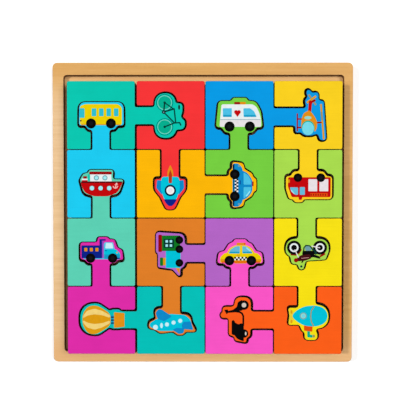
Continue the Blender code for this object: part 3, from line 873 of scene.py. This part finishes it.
def print_submarine(art):
    art.shape("amber", [(9.4, 20.8), (12.8, 16.4), (14.3, 16.2), (13.6, 22.0), (14.2, 27.6), (12.8, 27.4),
                        (9.4, 24.0)], 0.6)
    for v in (25.6, 18.6):
        art.oval("gold", 12.2, v, 0.7, 1.4)
    art.lines("jade", [(-0.5, 31.8), (-0.5, 36.4), (-3.3, 36.6)], 2.1)
    art.oval("khaki", -4.3, 36.5, 0.9, 1.1)
    art.shape("flame", [(-3.4, 28.5), (3.0, 28.3), (2.9, 32.4), (-3.2, 33.2)], 0.4)
    art.shape("cyan", [(-14.9, 21.6), (-12.8, 26.8), (-6.4, 29.4), (2.4, 29.0), (8.5, 25.6), (12.4, 21.5),
                       (8.5, 17.3), (2.4, 14.3), (-6.6, 13.7), (-12.8, 16.2)], 2.6)
    art.lines("khaki", [(-4.2, 29.2), (-2.5, 26.1), (-1.9, 21.9), (-2.4, 17.7), (-4.6, 14.2)], 0.8)
    art.disc("steel", 3.5, 21.5, 2.6)
    art.disc("mint", 3.5, 21.5, 2.0)
    art.disc("aqua", 3.5, 21.5, 1.3)


# Picture of each block, and how far it is out of register across and along the tab, in millimetres
PICTURES = {
    "bicycle": (print_bicycle, -0.1, 0.0), "rocket": (print_rocket, 0.3, 0.1),
    "helicopter": (print_helicopter, 0.2, -0.2), "fire_engine": (print_fire_engine, 0.1, -0.2),
    "bus": (print_bus, 0.3, -0.1), "police_car": (print_police_car, 0.2, 0.0),
    "ambulance": (print_ambulance, -0.2, -0.2), "motorcycle": (print_motorcycle, 0.1, 0.5),
    "ship": (print_ship, 0.0, 0.4), "aeroplane": (print_aeroplane, 0.2, 0.2),
    "train": (print_train, -0.1, 0.0), "submarine": (print_submarine, -0.2, 0.6),
    "lorry": (print_lorry, 0.0, 0.2), "balloon": (print_balloon, 0.3, 0.5),
    "taxi": (print_taxi, 0.3, 0.2), "scooter": (print_scooter, 0.6, 0.2),
}


class PUZZLE_OT_base(bpy.types.Operator):
    """Make the tray's base board"""
    bl_idname = "puzzle.base"
    bl_label = "Base board"

    def execute(self, context):
        tray = context.scene.puzzle_tray
        low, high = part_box("tray_base")
        form = smooth_outlines("tray_base")
        raise_board(form, low.z, high.z, tray.rim)
        split_faces(form)
        # The base's wood is partly painted light: made paler to offset the shade in the recess round the
        # blocks
        face = board_face("base_face", tray.base_light, tray.base_dark, tray.gloss)
        edge = ply_edge("base_edge", tray.ply_light, tray.ply_dark, TRAY_LAYERS, low.z, high.z)
        piece = add_piece("base_board", form, [face, edge], "tray")
        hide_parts("tray_base")
        smooth_sides(piece)
        return {"FINISHED"}


class PUZZLE_OT_frame(bpy.types.Operator):
    """Make the tray's frame, glued on the base board"""
    bl_idname = "puzzle.frame"
    bl_label = "Frame"

    def execute(self, context):
        tray = context.scene.puzzle_tray
        low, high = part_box("tray_frame")
        glue_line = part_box("tray_base")[1].z
        form = smooth_outlines("tray_frame")
        bmesh.ops.delete(form, geom=form.faces[:], context="FACES_ONLY")
        bmesh.ops.bridge_loops(form, edges=form.edges[:])
        raise_board(form, glue_line, high.z, tray.rim)
        split_faces(form, (OPENING_SHARE * high.x, OPENING_SHARE * high.y))
        plain = (tray.frame_light, tray.frame_dark)
        golden = (tray.golden_light, tray.golden_dark)
        strips = [("X", low.x + LEFT_FADE[0], low.x + LEFT_FADE[1], *plain),
                  ("X", high.x - RIGHT_FADE[0], high.x - RIGHT_FADE[1], *golden),
                  ("Y", high.y - BACK_FADE[0], high.y - BACK_FADE[1], *golden),
                  ("Y", low.y + FRONT_FADE[0], low.y + FRONT_FADE[1], *plain)]
        # The left bar's paler wood is partly painted light, offsetting the blocks' shadow from the fill
        # lamp
        face = board_face("frame_face", tray.left_light, tray.left_dark, tray.gloss, strips)
        edge = ply_edge("frame_edge", tray.ply_light, tray.ply_dark, TRAY_LAYERS, glue_line, high.z)
        # The opening's wall takes toasted colours, partly painted shade for the slots round the blocks
        opening = ply_edge("opening_edge", tray.toasted_and_shaded_light, tray.toasted_and_shaded_dark, TRAY_LAYERS, glue_line,
                           high.z)
        piece = add_piece("frame_ring", form, [face, edge, opening], "tray")
        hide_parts("tray_frame")
        smooth_sides(piece)
        return {"FINISHED"}


class PUZZLE_OT_blocks(bpy.types.Operator):
    """Make the sixteen painted blocks"""
    bl_idname = "puzzle.blocks"
    bl_label = "Blocks"

    def execute(self, context):
        paint = context.scene.puzzle_paint
        low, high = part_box("block_bicycle")
        # The cut sides take a near-black toasted colour, partly painted shade for the gaps between blocks
        side = ply_edge("toasted_and_shaded_side", paint.toasted_and_shaded_light, paint.toasted_and_shaded_dark, BLOCK_LAYERS, low.z,
                        high.z)
        for name in TAB_SIDES:
            node = "block_" + name
            low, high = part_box(node)
            form = smooth_outlines(node)
            raise_board(form, low.z, high.z, paint.rim)
            split_faces(form)
            coat = paint_coat(name + "_paint", getattr(paint, name), paint.gloss, paint.shine)
            piece = add_piece(name + "_block", form, [coat, side], name)
            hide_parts(node)
            smooth_sides(piece)
        return {"FINISHED"}


class PUZZLE_OT_prints(bpy.types.Operator):
    """Print a vehicle on every block's tab"""
    bl_idname = "puzzle.prints"
    bl_label = "Printed vehicles"

    def execute(self, context):
        ink = context.scene.puzzle_ink
        coats = {}
        for name, (draw, across, along) in PICTURES.items():
            art = Print(ink.film / MILLIMETRE)
            draw(art)
            place = tab_axes(name) @ Matrix.Translation((across, along, 0))
            bmesh.ops.transform(art.form, matrix=place, verts=art.form.verts[:])
            for shade in art.inks:
                if shade not in coats:
                    coats[shade] = ink_coat(shade + "_ink", getattr(ink, shade))
            used = [coats[shade] for shade in art.inks]
            add_piece(name + "_print", art.form, used, name)
        return {"FINISHED"}


class PUZZLE_OT_stage(bpy.types.Operator):
    """Set up the floor, the light and the camera"""
    bl_idname = "puzzle.stage"
    bl_label = "Stage"

    def execute(self, context):
        stage = context.scene.puzzle_stage
        self.add_floor(context, stage)
        self.add_light(context, stage)
        self.add_camera(context, stage)
        context.scene.view_settings.view_transform = "Standard"
        return {"FINISHED"}

    def add_floor(self, context, stage):
        """A pale floor that fades into the white background far from the tray."""
        form = bmesh.new()
        bmesh.ops.create_grid(form, x_segments=1, y_segments=1, size=stage.floor_reach)
        bmesh.ops.translate(form, verts=form.verts[:], vec=(0, 0, -stage.floor_drop))
        mesh = bpy.data.meshes.new("floor")
        form.to_mesh(mesh)
        form.free()
        floor = bpy.data.objects.new("floor", mesh)
        context.scene.collection.objects.link(floor)
        material, shader, place = new_surface("pale_floor")
        shader.inputs["Base Color"].default_value = linear(stage.floor)
        shader.inputs["Roughness"].default_value = 0.9
        shader.inputs["Specular IOR Level"].default_value = 0.0
        shader.inputs["Emission Strength"].default_value = 1.0
        reach = place.node("VectorMath", {"operation": "LENGTH"}, {0: place}, "Value")
        far = reach.between(stage.fade_start, stage.fade_end)
        lift = stage.floor_lift + far * (1.0 - stage.floor_lift)
        (self.seen_rays(place) * lift).into(shader, "Emission Color")
        mesh.materials.append(material)

    def add_light(self, context, stage):
        """Even light from all round, with a white background, and two lamps."""
        world = bpy.data.worlds.new("studio")
        world.use_nodes = True
        context.scene.world = world
        background = world.node_tree.nodes["Background"]
        background.inputs["Color"].default_value = (1.0, 1.0, 1.0, 1.0)
        seen = self.seen_rays(Shade(world.node_tree))
        (stage.daylight + seen * (1.0 - stage.daylight)).into(background, "Strength")
        self.add_lamp(context, "key", stage.key_place, stage.key_power, stage.key_size)
        self.add_lamp(context, "fill", stage.fill_place, stage.fill_power, stage.fill_size)

    def add_lamp(self, context, name, place, watts, size):
        """A square soft lamp that faces the tray."""
        lamp = bpy.data.lights.new(name, "AREA")
        lamp.energy = watts
        lamp.size = size
        made = bpy.data.objects.new(name, lamp)
        made.location = place
        made.rotation_mode = "QUATERNION"
        made.rotation_quaternion = (-made.location).to_track_quat("-Z", "Y")
        context.scene.collection.objects.link(made)

    def add_camera(self, context, stage):
        """A camera that looks almost straight down on the tray."""
        camera = bpy.data.cameras.new("camera")
        camera.lens = stage.lens
        camera.clip_start = stage.near
        eye = bpy.data.objects.new("camera", camera)
        eye.location = stage.eye
        eye.rotation_euler = stage.turn
        context.scene.collection.objects.link(eye)
        context.scene.camera = eye

    def seen_rays(self, shade):
        """One on rays from the camera and on mirrored or transmitted ones, and nought on all others."""
        camera = shade.node("LightPath", {}, {}, "Is Camera Ray")
        glossy = shade.node("LightPath", {}, {}, "Is Glossy Ray")
        through = shade.node("LightPath", {}, {}, "Is Transmission Ray")
        return shade.node("Clamp", {}, {"Value": camera + glossy + through})


class PUZZLE_PT_panel(bpy.types.Panel):
    """List the puzzle's pieces and their settings"""
    bl_idname = "PUZZLE_PT_panel"
    bl_label = "Wooden Block Puzzle"
    bl_space_type = "VIEW_3D"
    bl_region_type = "UI"
    bl_category = "Puzzle"

    def draw(self, context):
        for operator in OPERATORS:
            self.layout.operator(operator.bl_idname)
        for name in SETTINGS:
            settings = getattr(context.scene, name)
            box = self.layout.box()
            for key in settings.__annotations__:
                box.prop(settings, key)


SETTINGS = {
    "puzzle_tray": PuzzleTraySettings,
    "puzzle_paint": PuzzlePaintSettings,
    "puzzle_ink": PuzzleInkSettings,
    "puzzle_stage": PuzzleStageSettings,
}
OPERATORS = (PUZZLE_OT_base, PUZZLE_OT_frame, PUZZLE_OT_blocks, PUZZLE_OT_prints, PUZZLE_OT_stage)


def register():
    for name, settings in SETTINGS.items():
        bpy.utils.register_class(settings)
        setattr(bpy.types.Scene, name, PointerProperty(type=settings))
    for operator in OPERATORS:
        bpy.utils.register_class(operator)
    bpy.utils.register_class(PUZZLE_PT_panel)


def unregister():
    bpy.utils.unregister_class(PUZZLE_PT_panel)
    for operator in reversed(OPERATORS):
        bpy.utils.unregister_class(operator)
    for name, settings in SETTINGS.items():
        delattr(bpy.types.Scene, name)
        bpy.utils.unregister_class(settings)


def main():
    register()
    bpy.ops.puzzle.base()
    bpy.ops.puzzle.frame()
    bpy.ops.puzzle.blocks()
    bpy.ops.puzzle.prints()
    bpy.ops.puzzle.stage()


if __name__ == "__main__":
    main()
